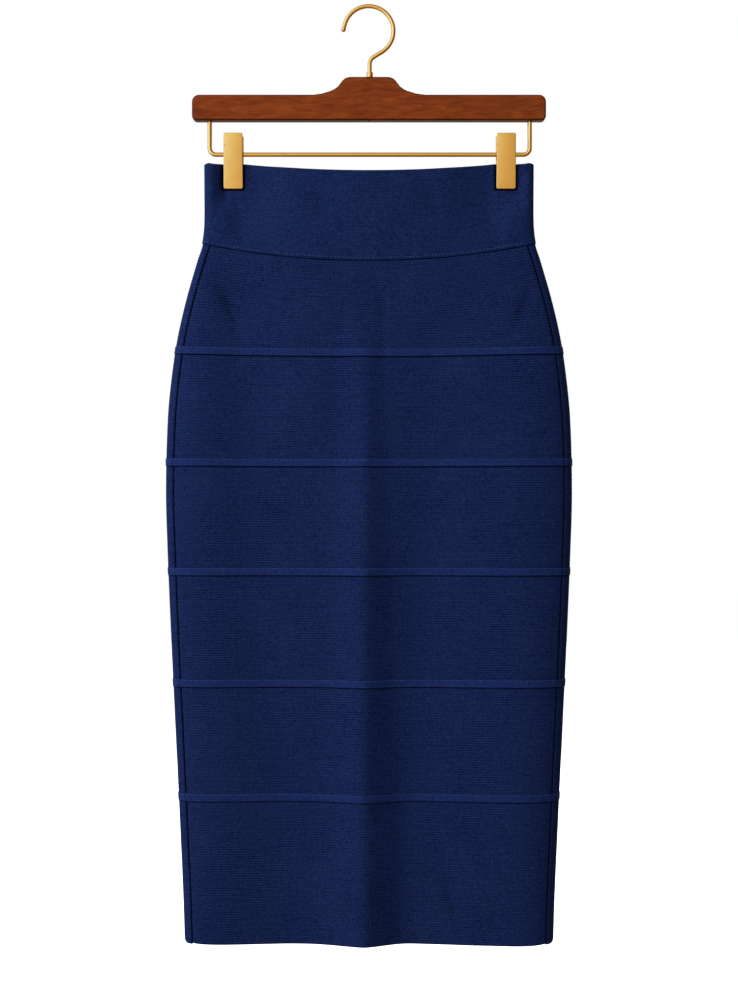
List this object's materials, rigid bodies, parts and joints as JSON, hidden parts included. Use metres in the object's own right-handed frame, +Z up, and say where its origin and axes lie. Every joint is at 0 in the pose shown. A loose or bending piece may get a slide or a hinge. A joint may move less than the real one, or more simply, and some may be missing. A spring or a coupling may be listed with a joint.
{
  "type": "pencil skirt on a clip hanger",
  "caption": "Ribbed knit pencil skirt with a high waistband and stitched cross bands, hung flat by the clips of a wooden skirt hanger.",
  "frame": {"origin": "the inside top of the hanger's hook, where a rail carries it", "axes": "+Z up, +X to the right seen from the front, and the front of the skirt faces -Y"},
  "size_m": [0.4084, 0.0528, 0.9374],
  "materials": {
    "navy_knit": "heavy navy knit with fine crosswise ribs, soft low sheen",
    "navy_tape": "smooth navy tape, topstitched along its upper edge",
    "cherry_wood": "red brown wood with fine lengthwise grain, satin varnish",
    "gold_metal": "pale gold plated steel, brushed to a satin"
  },
  "bodies": {
    "root": {"hook": "gold_metal", "collar": "gold_metal", "wood_bar": "cherry_wood", "clip_bar": "gold_metal", "jaw_front_left": "gold_metal", "jaw_back_left": "gold_metal", "spring_left": "gold_metal", "jaw_front_right": "gold_metal", "jaw_back_right": "gold_metal", "spring_right": "gold_metal", "waistband_front": "navy_knit", "waistband_back": "navy_knit", "front_panel_1": "navy_knit", "front_panel_2": "navy_knit", "front_panel_3": "navy_knit", "front_panel_4": "navy_knit", "front_panel_5": "navy_knit", "front_panel_6": "navy_knit", "back_panel_1": "navy_knit", "back_panel_2": "navy_knit", "back_panel_3": "navy_knit", "back_panel_4": "navy_knit", "back_panel_5": "navy_knit", "back_panel_6": "navy_knit", "front_tape_1": "navy_tape", "front_tape_2": "navy_tape", "front_tape_3": "navy_tape", "front_tape_4": "navy_tape", "front_tape_5": "navy_tape", "back_tape_1": "navy_tape", "back_tape_2": "navy_tape", "back_tape_3": "navy_tape", "back_tape_4": "navy_tape", "back_tape_5": "navy_tape"}
  },
  "joints": []
}
